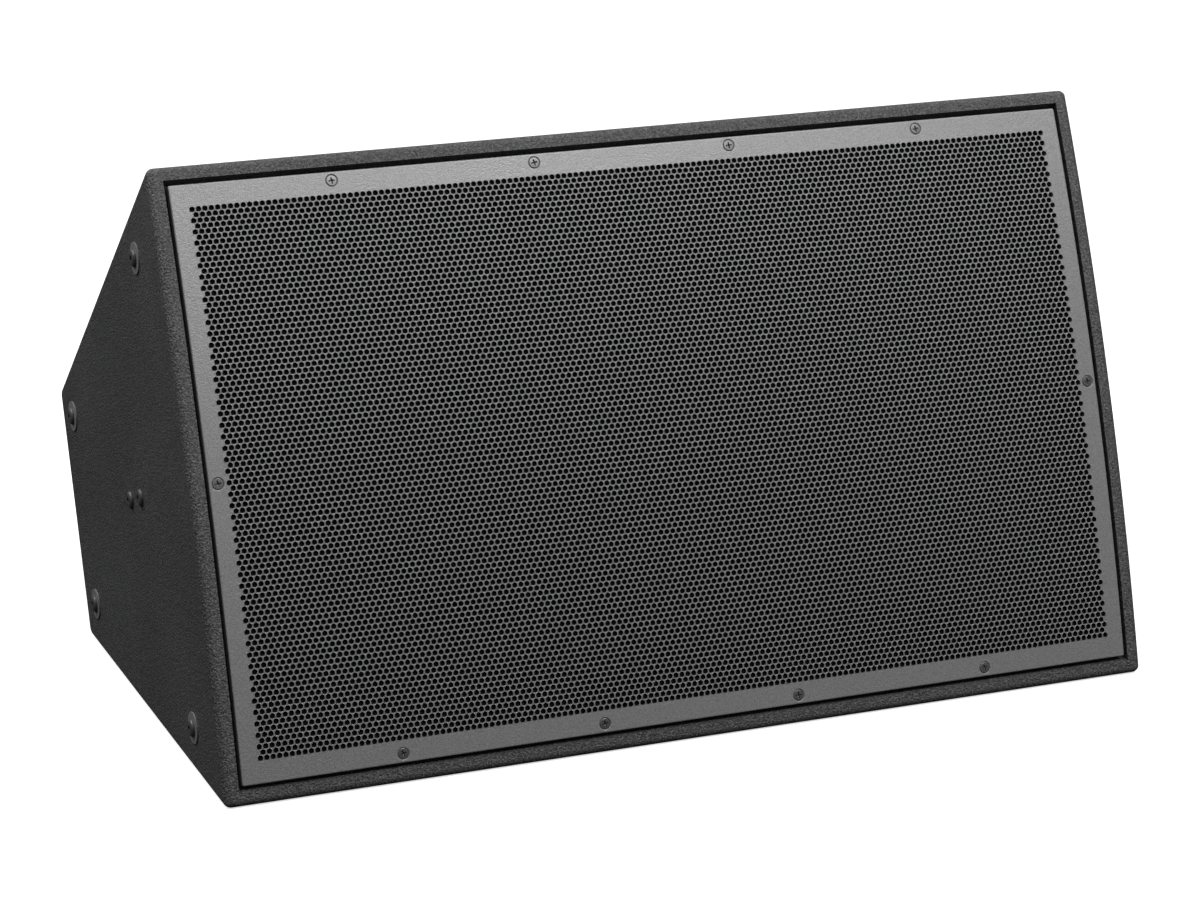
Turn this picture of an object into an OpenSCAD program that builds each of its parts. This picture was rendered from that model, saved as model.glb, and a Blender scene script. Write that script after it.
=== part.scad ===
// Stage monitor wedge: a two-way loudspeaker cabinet that lies on its lower slanted face.
// Most sub-parts are drawn in the front's own frame, x to the right, y up along the front and
// z straight out of it, with z = 0 on the crown of the bowed front. in_front() lays that frame
// back so that the bottom face rests on z = 0.

/* [Cabinet] */
// Overall width across the side panels
cabinet_w = 782; // [760:1:820]
// Height of the front, corner to corner along the slope
front_h = 487; // [480:1:500]
// Depth from the crown of the front to the rear face
cabinet_d = 395; // [390:1:420]
// Slant of the top and bottom faces, and the lean of the front
slant = 20; // [18:0.5:21]
// Radius of the shallow bow of the front
front_r = 2350; // [2100:10:3000]
// Thickness of the plywood panels
ply = 12; // [11:0.5:13]
// Rounding of the long edges and the rear edges
edge_r = 9.5; // [4:0.5:11]
// Rounding of the front edges
rim_r = 5; // [2:0.5:6]

/* [Grille] */
// Width of the grille plate
grille_w = 752; // [746:1:753]
// Height of the grille plate, straight across its bow
grille_h = 454; // [448:1:455]
// Thickness of the sheet steel
sheet_t = 1.5; // [1:0.1:2]
// Depth of the edges that are folded back
lip_d = 8; // [6:0.5:10]
// Thickness of the acoustic foam behind the sheet
foam_t = 6; // [4:0.5:8]
// Sideways spacing of the four screws along the top and the bottom edges
screw_pitch = 165.4; // [150:0.1:170]
// Distance of those screws from the middle of the front
screw_up = 220; // [218:0.5:221]
// Distance of the two side screws from the middle
screw_side = 368.8; // [368:0.1:370]
// Diameter of a grille screw's head
screw_head_d = 8.6; // [8:0.1:9]

/* [Rigging] */
// Diameter of the wide washer under each corner bolt
washer_d = 25; // [22:0.5:28]
// Diameter of a bolt's low button head
bolt_head_d = 14; // [13:0.5:15]
// Height of a bolt's head
bolt_head_h = 2.8; // [2.4:0.1:3.4]

/* [Drivers] */
// Sideways place of the woofer's axis
woofer_x = -168; // [-170:1:-166]
// Sideways place of the horn's axis
horn_x = 207; // [205:1:209]

/* [Rear panel] */
// Sideways place of the input plate
input_x = -165; // [-180:1:-150]
// Sideways place of the crossover board
crossover_x = 180; // [170:1:190]

/* [Hidden] */
fine = 96;
very_fine = 720;
eps = 0.01;

// The side profile, as (up, out) points in the front's frame
front_sag = front_r - sqrt(front_r * front_r - front_h * front_h / 4);
function outer_up(z) = front_h / 2 + (z + front_sag) * tan(slant);
function inner_up(z) = outer_up(z) - ply / cos(slant);
rear_up = outer_up(-cabinet_d);
corner_front = [front_h / 2, -front_sag];
corner_rear = [rear_up, -cabinet_d];
top_normal = [cos(slant), -sin(slant)];

// Where the front's frame sits, so that the origin is below the middle of the whole box
front_corner_angle = 90 - slant + asin(front_h / 2 / front_r);
lowest_front = -front_h / 2 * sin(slant) + front_sag * cos(slant)
    + rim_r * (1 / tan(front_corner_angle / 2) - 1);
furthest_rear = rear_up * sin(slant) + cabinet_d * cos(slant)
    - edge_r * (cos(45 - 1.5 * slant) / sin(45 + slant / 2) - 1);
frame_y = -(lowest_front + furthest_rear) / 2;
frame_z = front_h / 2 * cos(slant) + front_sag * sin(slant);
inner_x = cabinet_w / 2 - ply;
insert_r = 5.6;
washer_t = 1;
woofer_bolt_r = 185;
driver_bolt_r = 51;
horn_lip = 5;
plate_w = 190;
plate_h = 84;
plate_t = 2;
socket_x = 42;
lining_t = 20;

// Grille layers, as radii about the axis of the bow
sheet_back_r = front_r - sheet_t;
lip_back_r = front_r - lip_d;
frame_back_r = front_r - 24;
frame_inner_x = 361.5;
frame_inner_y = 213;

// Baffle and the drivers on it
baffle_z = -40;
baffle_t = 15;
baffle_back = baffle_z - baffle_t;
woofer_hole_r = 176;
horn_flange = 300;
horn_cut = 282;
port_gap = 38;
port_board = 9;
port_depth = 118;
port_x = [75, 339];
brace_x = [34, 46];
inner_back = ply - cabinet_d;

// Woofer, with z measured from the baffle's front
coil_r = 38.5;
woofer_plate_z = -95;

// Horn and its compression driver
horn_depth = 168;
throat_r = 18;
driver_z = baffle_z - horn_depth - 8;
coil_hf_r = 37.3;

// Rigging points on the sides, as (up, out) in the front's frame
rigging_points = [[181, -77], [79, -354], [-79, -354], [-181, -77]];
yoke_points = [[0, -187], [0, -153.5]];

// Hand-laid routes of the inner cables, in the front's frame
input_route = [[-200, 0, -360], [-200, 0, -352], [-198, 10, -342], [-180, 25, -334],
    [-140, 34, -330], [-90, 36, -330], [-40, 30, -330], [10, 20, -330], [40, 12, -330],
    [70, 6, -332], [92, 2, -340], [104, 0, -350], [108, 0, -360], [108, 0, -368]];
woofer_route = [[118, 18, -368], [118, 18, -358], [112, 20, -346], [98, 26, -336],
    [70, 34, -316], [40, 40, -300], [12, 44, -284], [-10, 46, -260], [-20, 44, -230],
    [-24, 36, -200], [-28, 24, -170], [-34, 12, -150], [-44, 4, -140], [-56, 0, -136]];
driver_route = [[118, -18, -368], [118, -18, -358], [122, -20, -346], [136, -20, -336],
    [150, -14, -328], [158, -8, -318], [154, -2, -306], [142, 0, -294], [133, 0, -280],
    [131, 0, -268], [133, 0, -256]];

// ---- Shared shapes ----

// Lays the front's frame back by the slant
module in_front() {
    translate([0, frame_y, frame_z]) rotate([90 - slant, 0, 0]) children();
}

// Extrudes an outline of (up, out) points across the width, between two sideways places
module across(x0, x1) {
    translate([x0, 0, 0]) rotate([90, 0, 90]) linear_extrude(x1 - x0) children();
}

// A solid bar bounded by a cylinder about the axis of the bow
module bowed(radius, half_x) {
    translate([-half_x, 0, -front_r]) rotate([0, 90, 0])
        cylinder(r = radius, h = 2 * half_x, $fn = very_fine);
}

// A shell about the axis of the bow, cut to a width and a height
module bowed_shell(r_out, r_in, w, h) {
    intersection() {
        difference() {
            bowed(r_out, w / 2);
            bowed(r_in, w / 2 + 1);
        }
        translate([-w, -h / 2, -80]) cube([2 * w, h, 160]);
    }
}

// What an arc of radius r cuts off a corner: centre, touching point, corner, touching point
module corner_waste(centre, a, corner, b, r) {
    reach = 1.3;
    difference() {
        polygon([centre, centre + reach * (a - centre), centre + reach * (corner - centre),
            centre + reach * (b - centre)]);
        translate(centre) circle(r = r, $fn = fine);
    }
}

// What rounding takes off a square edge that runs along z at the corner of +x and +y
module edge_waste(r, length) {
    translate([-r, -r, -length / 2]) linear_extrude(length)
        difference() {
            square(r * 1.4);
            circle(r = r, $fn = fine);
        }
}

module profile() {
    arc_r = front_r - rim_r;
    line = corner_front * top_normal;
    turn = slant + asin((line - rim_r - front_r * sin(slant)) / arc_r);
    front_centre = [arc_r * sin(turn), arc_r * cos(turn) - front_r];
    front_touch = [front_r * sin(turn), front_r * cos(turn) - front_r];
    rear_bisector = [sin(45 + slant / 2 - slant), -cos(45 + slant / 2 - slant)];
    rear_centre = corner_rear - rear_bisector * edge_r / sin(45 + slant / 2);
    difference() {
        intersection() {
            polygon([[outer_up(20), 20], corner_rear, [-rear_up, -cabinet_d],
                [-outer_up(20), 20]]);
            translate([0, -front_r]) circle(r = front_r, $fn = very_fine);
        }
        for (m = [0, 1]) mirror([m, 0]) {
            corner_waste(front_centre, front_touch, corner_front,
                front_centre + top_normal * rim_r, rim_r);
            corner_waste(rear_centre, rear_centre + top_normal * edge_r, corner_rear,
                rear_centre + [0, -edge_r], edge_r);
        }
    }
}

// The whole outside of the cabinet, with every edge rounded
module envelope() {
    slope_length = 2 * (cabinet_d + 40);
    difference() {
        across(-cabinet_w / 2, cabinet_w / 2) profile();
        for (side = [0, 1]) mirror([side, 0, 0]) {
            for (m = [0, 1]) mirror([0, m, 0])
                translate([cabinet_w / 2, front_h / 2, -front_sag]) rotate([-slant, 0, 0])
                    edge_waste(edge_r, slope_length);
            translate([cabinet_w / 2, 0, -cabinet_d]) rotate([-90, 0, 0])
                edge_waste(edge_r, 2 * front_h);
            translate([0, 0, -front_r]) rotate([0, -90, 0]) rotate([0, 0, -8])
                rotate_extrude(angle = 16, $fn = very_fine)
                    translate([front_r - rim_r, -cabinet_w / 2 + rim_r]) mirror([0, 1])
                        difference() {
                            square(rim_r * 1.4);
                            circle(r = rim_r, $fn = fine);
                        }
        }
    }
}

// A strip along the inside of the top face, from depth a to depth b below it
module under_top(x0, x1, a, b, z0, z1) {
    shift = 1 / cos(slant);
    across(x0, x1) polygon([
        [outer_up(z0) - a * shift, z0], [outer_up(z1) - a * shift, z1],
        [outer_up(z1) - b * shift, z1], [outer_up(z0) - b * shift, z0]]);
}

// The space inside the panels, between two depths
module cavity(x0, x1, z0, z1, gap = 0) {
    across(x0, x1) polygon([
        [inner_up(z0) - gap, z0], [inner_up(z1) - gap, z1],
        [gap - inner_up(z1), z1], [gap - inner_up(z0), z0]]);
}

// Puts children at each rigging or yoke point of both sides, with their z pointing outward
module on_sides(points) {
    for (side = [0, 1]) mirror([side, 0, 0])
        for (p = points) translate([cabinet_w / 2, p[0], p[1]]) rotate([0, 90, 0]) children();
}

// Puts children at each grille screw, on the bowed surface, with z pointing straight out of it
module at_grille_screws() {
    up = asin(screw_up / front_r);
    for (x = [-1.5, -0.5, 0.5, 1.5] * screw_pitch, turn = [-up, up])
        translate([x, 0, -front_r]) rotate([-turn, 0, 0]) translate([0, 0, front_r]) children();
    for (x = [-screw_side, screw_side]) translate([x, 0, 0]) children();
}

module countersink(extra = 0) {
    head_h = 2.2;
    shank_r = 2.1;
    translate([0, 0, -head_h]) cylinder(h = head_h + extra, r1 = shank_r,
        r2 = screw_head_d / 2 + extra, $fn = fine);
    translate([0, 0, -18]) cylinder(h = 18, r = shank_r, $fn = fine);
}

module rounded_rect(w, h, r) {
    square([w - 2 * r, h], center = true);
    square([w, h - 2 * r], center = true);
    for (x = [r - w / 2, w / 2 - r], y = [r - h / 2, h / 2 - r])
        translate([x, y]) circle(r = r, $fn = fine);
}

module ring(r_out, r_in, z0, z1) {
    translate([0, 0, z0]) difference() {
        cylinder(r = r_out, h = z1 - z0, $fn = fine);
        translate([0, 0, -1]) cylinder(r = r_in, h = z1 - z0 + 2, $fn = fine);
    }
}

module turned(points) {
    rotate_extrude($fn = fine) polygon(points);
}

module around(count, radius, start = 0) {
    for (i = [0 : count - 1]) rotate(start + i * 360 / count) translate([radius, 0, 0]) children();
}

module at_woofer() {
    translate([woofer_x, 0, baffle_z]) children();
}

module at_horn() {
    translate([horn_x, 0, baffle_z]) children();
}

module at_driver() {
    translate([horn_x, 0, driver_z]) children();
}

// A smooth tube along hand-laid points
cable_sides = 8;
cable_steps = 3;
function spline(p, i, t) = let (
    a = p[max(i - 1, 0)], b = p[i], c = p[i + 1], d = p[min(i + 2, len(p) - 1)])
    0.5 * (2 * b + (c - a) * t + (2 * a - 5 * b + 4 * c - d) * t * t
        + (3 * b - a - 3 * c + d) * t * t * t);
function smooth(p) = [for (i = [0 : len(p) - 2], s = [0 : cable_steps - 1])
    spline(p, i, s / cable_steps), p[len(p) - 1]];
function unit(v) = v / norm(v);
module cable(route, d) {
    path = smooth(route);
    last = len(path) - 1;
    points = [for (i = [0 : last]) let (
        along = unit(path[min(i + 1, last)] - path[max(i - 1, 0)]),
        u = unit(cross(along, [0.3, 1, 0.2])), v = cross(along, u))
        for (k = [0 : cable_sides - 1])
            path[i] + d / 2 * (u * cos(k * 360 / cable_sides) + v * sin(k * 360 / cable_sides))];
    walls = [for (i = [0 : last - 1], k = [0 : cable_sides - 1]) let (
        n = (k + 1) % cable_sides, a = i * cable_sides)
        [a + k, a + cable_sides + k, a + cable_sides + n, a + n]];
    ends = [[for (k = [0 : cable_sides - 1]) k],
        [for (k = [cable_sides - 1 : -1 : 0]) last * cable_sides + k]];
    polyhedron(points, concat(walls, ends), convexity = 4);
}

// ---- Cabinet ----

module side_panel(x0, x1) {
    color("#3a3a3a") in_front() difference() {
        intersection() {
            envelope();
            translate([x0, -front_h, -cabinet_d - 1]) cube([x1 - x0, 2 * front_h, cabinet_d + 5]);
        }
        on_sides(concat(rigging_points, yoke_points))
            translate([0, 0, -ply - 1]) cylinder(r = insert_r, h = ply + 3, $fn = fine);
    }
}

module side_panel_left() {
    side_panel(-cabinet_w / 2 - 1, -inner_x);
}

module side_panel_right() {
    side_panel(inner_x, cabinet_w / 2 + 1);
}

module top_panel() {
    color("#3a3a3a") in_front() intersection() {
        envelope();
        under_top(-inner_x, inner_x, -5, ply, 30, -cabinet_d - 30);
    }
}

module bottom_panel() {
    color("#3a3a3a") in_front() intersection() {
        envelope();
        mirror([0, 1, 0]) under_top(-inner_x, inner_x, -5, ply, 30, -cabinet_d - 30);
    }
}

module rear_panel() {
    cut_w = 150;
    cut_h = 56;
    color("#3a3a3a") in_front() difference() {
        cavity(-inner_x, inner_x, inner_back, -cabinet_d);
        at_input() translate([-cut_w / 2, -cut_h / 2, -1]) cube([cut_w, cut_h, ply + 2]);
        at_input() at_plate_screws() translate([0, 0, -1])
            cylinder(r = 2, h = ply + 2, $fn = fine);
    }
}

module baffle() {
    color("#1c1c1c") in_front() difference() {
        cavity(-inner_x, inner_x, baffle_z, baffle_back);
        at_woofer() {
            translate([0, 0, -baffle_t - 1])
                cylinder(r = woofer_hole_r, h = baffle_t + 2, $fn = very_fine);
            around(8, woofer_bolt_r, 22.5) translate([0, 0, -baffle_t - 1])
                cylinder(r = 2.9, h = baffle_t + 2, $fn = fine);
        }
        at_horn() translate([0, 0, -baffle_t / 2])
            cube([horn_cut, horn_cut, baffle_t + 2], center = true);
        at_horn() at_horn_screws() translate([0, 0, -baffle_t - 1])
            cylinder(r = 2.2, h = baffle_t + 2, $fn = fine);
        for (m = [0, 1]) mirror([0, m, 0])
            under_top(port_x[0] + port_board, port_x[1] - port_board, ply + 6,
                ply + port_gap, baffle_z + 5, baffle_back - 5);
    }
}

module baffle_cleats() {
    size = 18;
    end_x = inner_x - 3;
    color("#c9a66b") in_front() {
        for (m = [0, 1]) mirror([0, m, 0]) {
            under_top(-end_x, port_x[0] - 2, ply, ply + size, baffle_back, baffle_back - size);
            under_top(port_x[1] + 2, end_x, ply, ply + size, baffle_back, baffle_back - size);
        }
        for (m = [0, 1]) mirror([m, 0, 0])
            translate([inner_x - size, -160, baffle_back - size]) cube([size, 320, size]);
    }
}

module window_brace() {
    color("#c9a66b") in_front() difference() {
        cavity(brace_x[0], brace_x[1], baffle_back, inner_back);
        for (m = [0, 1]) mirror([0, m, 0])
            under_top(brace_x[0] - 1, brace_x[1] + 1, ply - 1, ply + 18.5,
                baffle_back + 1, baffle_back - 18.5);
        across(brace_x[0] - 1, brace_x[1] + 1) {
            translate([0, -137]) rounded_rect(220, 116, 16);
            translate([0, -280]) rounded_rect(136, 130, 16);
        }
    }
}

module port_duct() {
    difference() {
        under_top(port_x[0], port_x[1], ply, ply + port_gap + port_board,
            baffle_back, -port_depth - baffle_t);
        under_top(port_x[0] + port_board, port_x[1] - port_board, ply - 1, ply + port_gap,
            baffle_back + 5, -port_depth - baffle_t - 5);
    }
}

module port_duct_upper() {
    color("#c9a66b") in_front() port_duct();
}

module port_duct_lower() {
    color("#c9a66b") in_front() mirror([0, 1, 0]) port_duct();
}

// ---- Grille ----

module grille_frame() {
    rebate_x = grille_w / 2 - sheet_t - 0.5;
    rebate_y = grille_h / 2 - sheet_t - 0.8;
    color("#151515") in_front() difference() {
        intersection() {
            bowed_shell(sheet_back_r, frame_back_r, 2 * inner_x, 2 * front_h);
            cavity(-inner_x, inner_x, 20, -60);
        }
        translate([-frame_inner_x, -frame_inner_y, -80])
            cube([2 * frame_inner_x, 2 * frame_inner_y, 120]);
        difference() {
            bowed(front_r + 5, inner_x + 5);
            bowed(lip_back_r - 1, inner_x + 6);
            translate([-rebate_x, -rebate_y, -80]) cube([2 * rebate_x, 2 * rebate_y, 120]);
        }
        at_grille_screws() countersink();
    }
}

module grille() {
    color("#6f6f6f") in_front() difference() {
        bowed_shell(front_r, lip_back_r, grille_w, grille_h);
        bowed_shell(sheet_back_r, lip_back_r - 1, grille_w - 2 * sheet_t, grille_h - 2 * sheet_t);
        at_grille_screws() countersink(eps);
    }
}

module grille_foam() {
    color("#0c0c0c") in_front() bowed_shell(sheet_back_r, sheet_back_r - foam_t,
        2 * frame_inner_x - 1, 2 * frame_inner_y - 1);
}

module grille_screws() {
    color("#404040") in_front() at_grille_screws() difference() {
        countersink();
        for (a = [45, 135]) rotate(a) translate([0, 0, -0.6]) cube([4.8, 0.9, 1.6], center = true);
    }
}

// ---- Rigging ----

module button_bolt(seat) {
    flat_r = bolt_head_d / 4;
    dome = [for (i = [0 : 8]) let (t = i * 90 / 8)
        [flat_r + (bolt_head_d / 2 - flat_r) * cos(t), seat + 0.6 + (bolt_head_h - 0.6) * sin(t)]];
    difference() {
        turned(concat([[0, seat + bolt_head_h], [0, seat - 20], [4, seat - 20], [4, seat],
            [bolt_head_d / 2, seat]], dome));
        translate([0, 0, seat + bolt_head_h - 1.6]) cylinder(r = 2.9, h = 3, $fn = 6);
    }
}

module rigging_washers() {
    color("#7d7d7d") in_front() on_sides(rigging_points) ring(washer_d / 2, 4.2, 0, washer_t);
}

module rigging_bolts() {
    color("#4a4a4a") in_front() on_sides(rigging_points) button_bolt(washer_t);
}

module yoke_bolts() {
    color("#4a4a4a") in_front() on_sides(yoke_points) button_bolt(0);
}

module threaded_inserts() {
    color("#b0a070") in_front() on_sides(concat(rigging_points, yoke_points)) {
        ring(insert_r, 4.1, -ply, -0.5);
        ring(11, 4.1, -ply - 1.6, -ply);
    }
}

// ---- Woofer ----

module woofer_basket() {
    color("#2b2b2b") in_front() at_woofer() difference() {
        turned([[168, 4], [176, 4], [176, 8], [194, 8], [194, 0], [175, 0], [173, -18],
            [104, -86], [104, -95], [60, -95], [60, -89], [96, -89], [96, -77], [84, -77],
            [84, -72], [99, -72], [167, -14]]);
        around(6, 0, 30) translate([60, -52, -64]) cube([140, 84, 44]);
        around(8, woofer_bolt_r, 22.5) translate([0, 0, -1])
            cylinder(r = 3.2, h = 12, $fn = fine);
    }
}

module woofer_gasket() {
    color("#101010") in_front() at_woofer() difference() {
        ring(194, 176.5, 8, 11);
        around(8, woofer_bolt_r, 22.5) translate([0, 0, 7]) cylinder(r = 3.2, h = 6, $fn = fine);
    }
}

module woofer_surround() {
    roll_r = 9;
    steps = 12;
    mid = 159;
    outer_arc = [for (i = [0 : steps]) let (t = i * 180 / steps)
        [mid + (roll_r) * cos(t), 5.2 + roll_r * sin(t)]];
    inner_arc = [for (i = [0 : steps]) let (t = 180 - i * 180 / steps)
        [mid + (roll_r - 1.2) * cos(t), 4 + (roll_r - 0.4) * sin(t)]];
    color("#181818") in_front() at_woofer() turned(concat(
        [[175.8, 4], [175.8, 5.2]], outer_arc, [[143, 5.2], [143, 4]], inner_arc));
}

function cone_z(r) = 3.8 - 62 * pow((150 - r) / 111.4, 1.3);

module woofer_cone() {
    wall = 1.2;
    radii = [for (i = [0 : 12]) 38.6 + (149.8 - 38.6) * i / 12];
    top = [for (r = radii) [r, cone_z(r)]];
    under = [for (i = [12 : -1 : 0]) [radii[i], cone_z(radii[i]) - wall * 1.3]];
    color("#141414") in_front() at_woofer() turned(concat(top, under));
}

module woofer_dust_cap() {
    cap_r = 52;
    rise = 19;
    ball = (cap_r * cap_r + rise * rise) / (2 * rise);
    base = cone_z(cap_r) + 0.6;
    edge = asin(cap_r / ball);
    top = [for (i = [0 : 10]) let (t = edge * i / 10)
        [ball * sin(t), base + rise - ball + ball * cos(t)]];
    under = [for (i = [10 : -1 : 0]) let (t = edge * i / 10)
        [(ball - 0.8) * sin(t), base + rise - ball + (ball - 0.8) * cos(t)]];
    color("#141414") in_front() at_woofer() turned(concat(top, under));
}

module woofer_former() {
    color("#d8c8a0") in_front() at_woofer() ring(coil_r, coil_r - 0.3, -108, -52);
}

module woofer_voice_coil() {
    color("#b06030") in_front() at_woofer() ring(coil_r + 1.2, coil_r, -108, -92);
}

module woofer_spider() {
    wave = [for (i = [0 : 36]) let (r = 46 + i) [r, -71.2 + 2.2 * sin((r - 46) * 40)]];
    back = [for (i = [36 : -1 : 0]) [wave[i][0], wave[i][1] - 0.8]];
    color("#b08a50") in_front() at_woofer() turned(concat(
        [[coil_r + 0.1, -71.2]], wave, [[93, -71.2], [93, -72]], back, [[coil_r + 0.1, -72]]));
}

module woofer_top_plate() {
    color("#555555") in_front() at_woofer() ring(80, 40.6, woofer_plate_z - 10, woofer_plate_z);
}

module woofer_magnet() {
    color("#242424") in_front() at_woofer() ring(95, 48, woofer_plate_z - 34, woofer_plate_z - 10);
}

module woofer_yoke() {
    back = woofer_plate_z - 34;
    color("#555555") in_front() at_woofer() turned([[14, woofer_plate_z], [37.6, woofer_plate_z],
        [37.6, back], [88, back], [88, back - 9], [85, back - 12], [14, back - 12]]);
}

module woofer_terminals() {
    color("#7a3020") in_front() at_woofer() {
        translate([104, -13, -96]) cube([6, 26, 9]);
        for (y = [-7, 7]) translate([110, y - 2.5, -95]) cube([2, 5, 6]);
    }
}

module woofer_screws() {
    color("#303030") in_front() at_woofer() around(8, woofer_bolt_r, 22.5)
        turned([[0, 14.6], [3.5, 14.6], [5.2, 13.4], [5.2, 11], [2.9, 11], [2.9, -22], [0, -22]]);
}

// ---- Horn and compression driver ----

function flare(u, power) = throat_r + (mouth_half - throat_r) * pow(u, power);
mouth_half = 135;
flare_steps = 16;
module flare_outline(power, wall, z_low, z_high) {
    span = horn_depth + horn_lip;
    side = [for (i = [0 : flare_steps]) let (u = i / flare_steps)
        [flare(u, power) + wall, -horn_depth + span * u]];
    polygon(concat([[throat_r + wall, z_low]], side, [[mouth_half + wall, z_high],
        [-mouth_half - wall, z_high]], [for (i = [flare_steps : -1 : 0])
        [-side[i][0], side[i][1]]], [[-throat_r - wall, z_low]]));
}

module flare_solid(wall, z_low, z_high) {
    wide = 2 * (mouth_half + wall + 1);
    intersection() {
        rotate([90, 0, 0]) linear_extrude(wide, center = true)
            flare_outline(1.25, wall, z_low, z_high);
        rotate([90, 0, 90]) linear_extrude(wide, center = true)
            flare_outline(1.8, wall, z_low, z_high);
    }
}

module horn() {
    color("#1a1a1a") in_front() at_horn() difference() {
        union() {
            flare_solid(4, -horn_depth - 1, horn_lip);
            linear_extrude(horn_lip) rounded_rect(horn_flange, horn_flange, 8);
            translate([0, 0, -horn_depth - 8]) cylinder(r = 58, h = 8, $fn = fine);
        }
        flare_solid(0, -horn_depth, horn_lip + 1);
        translate([0, 0, -horn_depth - 9]) cylinder(r = throat_r, h = 12, $fn = fine);
        around(4, driver_bolt_r, 45) translate([0, 0, -horn_depth - 9])
            cylinder(r = 3.2, h = 10, $fn = fine);
        at_horn_screws() translate([0, 0, -1]) cylinder(r = 2.3, h = horn_lip + 2, $fn = fine);
    }
}

module at_horn_screws() {
    far = 145.6;
    for (x = [-far, 0, far], y = [-far, 0, far]) if (abs(x) + abs(y) > 1)
        translate([x, y, 0]) children();
}

module horn_screws() {
    color("#303030") in_front() at_horn() at_horn_screws() turned([[0, horn_lip + 2.6],
        [2.6, horn_lip + 2.6], [4.2, horn_lip + 1.4], [4.2, horn_lip], [2.1, horn_lip],
        [2.1, -20], [0, -20]]);
}

module driver_gasket() {
    color("#101010") in_front() at_driver() difference() {
        ring(58, throat_r + 0.5, -1, 0);
        around(4, driver_bolt_r, 45) translate([0, 0, -2]) cylinder(r = 3.2, h = 3, $fn = fine);
    }
}

module driver_front_plate() {
    color("#555555") in_front() at_driver() difference() {
        turned([[throat_r, -1], [64, -1], [64, -11], [36.4, -11], [36.4, -41], [31, -41]]);
        around(4, driver_bolt_r, 45) translate([0, 0, -12]) cylinder(r = 2.9, h = 13, $fn = fine);
    }
}

module driver_magnet() {
    color("#242424") in_front() at_driver() ring(68, 44, -33, -11);
}

module driver_top_plate() {
    color("#555555") in_front() at_driver() ring(64, 38.3, -41, -33);
}

// A plug with a domed back and two ring slots, held together by four ribs
module phase_plug() {
    plug_r = 30.5;
    ball = 74.6;
    dome = [for (i = [0 : 8]) let (t = asin(plug_r / ball) * (8 - i) / 8)
        [ball * sin(t), -42 + ball * cos(asin(plug_r / ball)) - ball * cos(t)]];
    color("#c8c8c8") in_front() at_driver() difference() {
        turned(concat([[0, -8], [2, -9], [18.5, -38], [plug_r, -39.5]], dome));
        difference() {
            for (slot = [[11, 6], [21, 13]]) turned([[slot[0], -60], [slot[0] + 1.6, -60],
                [slot[1] + 4, -5], [slot[1] + 1.5, -5]]);
            for (a = [0, 90]) rotate(a) translate([0, 0, -30])
                cube([80, 2.5, 62], center = true);
        }
    }
}

module driver_diaphragm() {
    dome_r = 37.7;
    rise = 10;
    wall = 0.3;
    steps = 12;
    ball = (dome_r * dome_r + rise * rise) / (2 * rise);
    edge = asin(dome_r / ball);
    function at(r, i) = [r * sin(edge * i / steps),
        -42.4 - rise + ball - r * cos(edge * i / steps)];
    color("#9a9a9a") in_front() at_driver() turned(concat(
        [for (i = [steps : -1 : 0]) at(ball, i)], [for (i = [0 : steps]) at(ball - wall, i)]));
}

module driver_voice_coil() {
    color("#b06030") in_front() at_driver() ring(coil_hf_r + 0.4, coil_hf_r - 0.4, -42.2, -34);
}

module driver_suspension() {
    color("#c0a060") in_front() at_driver() turned([[37.8, -42.2], [39, -42.2], [40.5, -43.4],
        [42, -42.2], [44.8, -42.2], [44.8, -42.6], [42.2, -42.6], [40.5, -43.9], [38.8, -42.6],
        [37.8, -42.6]]);
}

module driver_mounting_ring() {
    color("#a0a0a0") in_front() at_driver() ring(60, 44.9, -44, -41);
}

module driver_cover() {
    color("#1e1e1e") in_front() at_driver() {
        turned([[64, -41], [60.4, -41], [60.4, -70], [0, -70], [0, -74], [60, -74], [64, -70]]);
        translate([-70, -9, -52]) cube([6.4, 18, 8]);
        for (y = [-5, 5]) translate([-74, y - 1.5, -50]) cube([4.1, 3, 4]);
    }
}

module driver_screws() {
    color("#303030") in_front() at_driver() around(4, driver_bolt_r, 45)
        turned([[0, 13], [4.5, 13], [5, 12.2], [5, 8], [2.9, 8], [2.9, -10], [0, -10]]);
}

// ---- Input plate and crossover ----

module at_input() {
    translate([input_x, 0, -cabinet_d]) children();
}

module input_plate() {
    color("#2a2a2a") in_front() at_input() difference() {
        translate([0, 0, -plate_t]) linear_extrude(plate_t) rounded_rect(plate_w, plate_h, 6);
        for (s = [-1, 1]) translate([s * socket_x, 0, -plate_t - 1])
            cylinder(r = 12, h = plate_t + 2, $fn = fine);
        at_plate_screws() cylinder(r = 2, h = 8, center = true, $fn = fine);
        at_socket_screws() cylinder(r = 1.5, h = 8, center = true, $fn = fine);
    }
}

module at_plate_screws() {
    for (x = [-1, 0, 1] * (plate_w / 2 - 7), y = [-1, 1] * (plate_h / 2 - 7))
        translate([x, y, 0]) children();
}

module at_socket_screws() {
    for (s = [-1, 1], c = [-1, 1]) translate([s * socket_x + c * 9.5, c * 12, 0]) children();
}

module input_sockets() {
    color("#161616") in_front() at_input() for (s = [-1, 1]) translate([s * socket_x, 0, 0]) {
        difference() {
            union() {
                translate([0, 0, -plate_t - 2]) linear_extrude(2) rounded_rect(26, 31, 3);
                translate([0, 0, -plate_t]) cylinder(r = 11.9, h = 27, $fn = fine);
            }
            translate([0, 0, -plate_t - 3]) cylinder(r = 10.9, h = 21, $fn = fine);
            for (c = [-1, 1]) translate([c * 9.5, c * 12, -plate_t - 3])
                cylinder(r = 1.6, h = 4, $fn = fine);
        }
        translate([0, 0, -plate_t - 0.5]) cylinder(r = 5.8, h = 19, $fn = fine);
        for (x = [-6, 6], y = [-4, 4]) translate([x - 0.4, y - 1.6, 25]) cube([0.8, 3.2, 8]);
    }
}

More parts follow.
